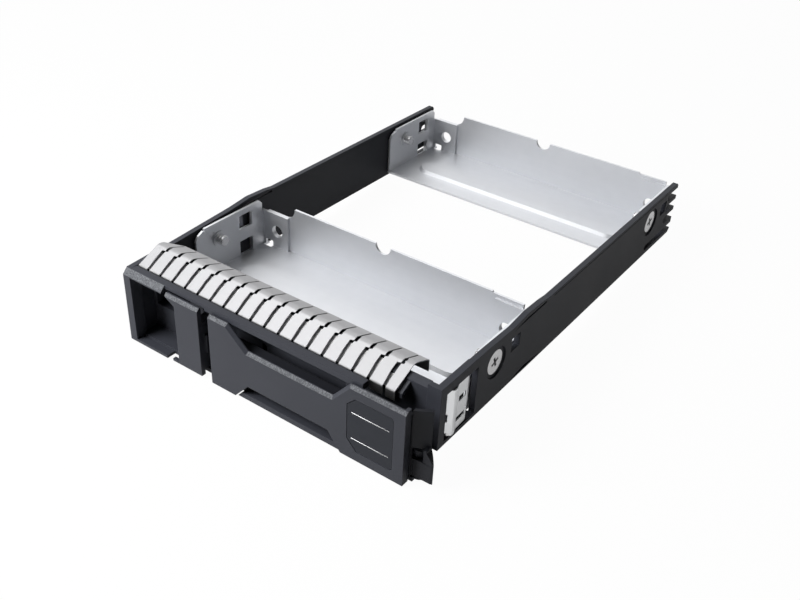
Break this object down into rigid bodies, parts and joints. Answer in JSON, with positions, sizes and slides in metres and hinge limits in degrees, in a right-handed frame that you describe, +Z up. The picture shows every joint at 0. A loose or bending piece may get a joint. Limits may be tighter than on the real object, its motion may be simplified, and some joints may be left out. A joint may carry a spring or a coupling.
{
  "type": "drive carrier",
  "caption": "Black 3.5-inch drive tray with an ejector lever, a release button, a bright contact finger strip and two sheet-metal pans.",
  "frame": {"origin": "the bezel's lower left front corner, as seen from the front with the open side up", "axes": "+X to the right along the bezel, +Y to the rear along the rails, +Z up out of the open side"},
  "size_m": [0.1088, 0.1599, 0.0287],
  "materials": {
    "black_plastic": "fine texture",
    "black_plastic_face": "satin",
    "bright_spring_steel": "bright",
    "galvanised_sheet": "satin zinc",
    "plated_screw": "bright zinc",
    "label_grey": "satin"
  },
  "bodies": {
    "frame": {"carrier_frame": "black_plastic", "finger_strip": "bright_spring_steel", "side_spring": "bright_spring_steel", "front_bracket": "galvanised_sheet", "rear_bracket": "galvanised_sheet", "screw_front_left": "plated_screw", "screw_front_right": "plated_screw", "screw_rear_left": "plated_screw", "screw_rear_right": "plated_screw", "lever_pin": "plated_screw", "kick_spring": "bright_spring_steel", "button_pin": "plated_screw", "button_spring": "bright_spring_steel"},
    "lever": {"lever_arm": "black_plastic", "lever_face": "black_plastic_face", "label_inlay": "label_grey"},
    "latch": {"release_button": "black_plastic_face"}
  },
  "joints": [
    {"name": "lever_hinge", "type": "hinge", "parent": "frame", "child": "lever", "pos_m": [0.103, 0.0063, 0.005], "axis": [0, 0, 1], "range_deg": [0, 45]},
    {"name": "button_hinge", "type": "hinge", "parent": "frame", "child": "latch", "pos_m": [0.0286, 0.0066, 0.01], "axis": [0, 0, -1], "range_deg": [0, 7], "stiffness_Nm_per_rad": 0.02}
  ]
}
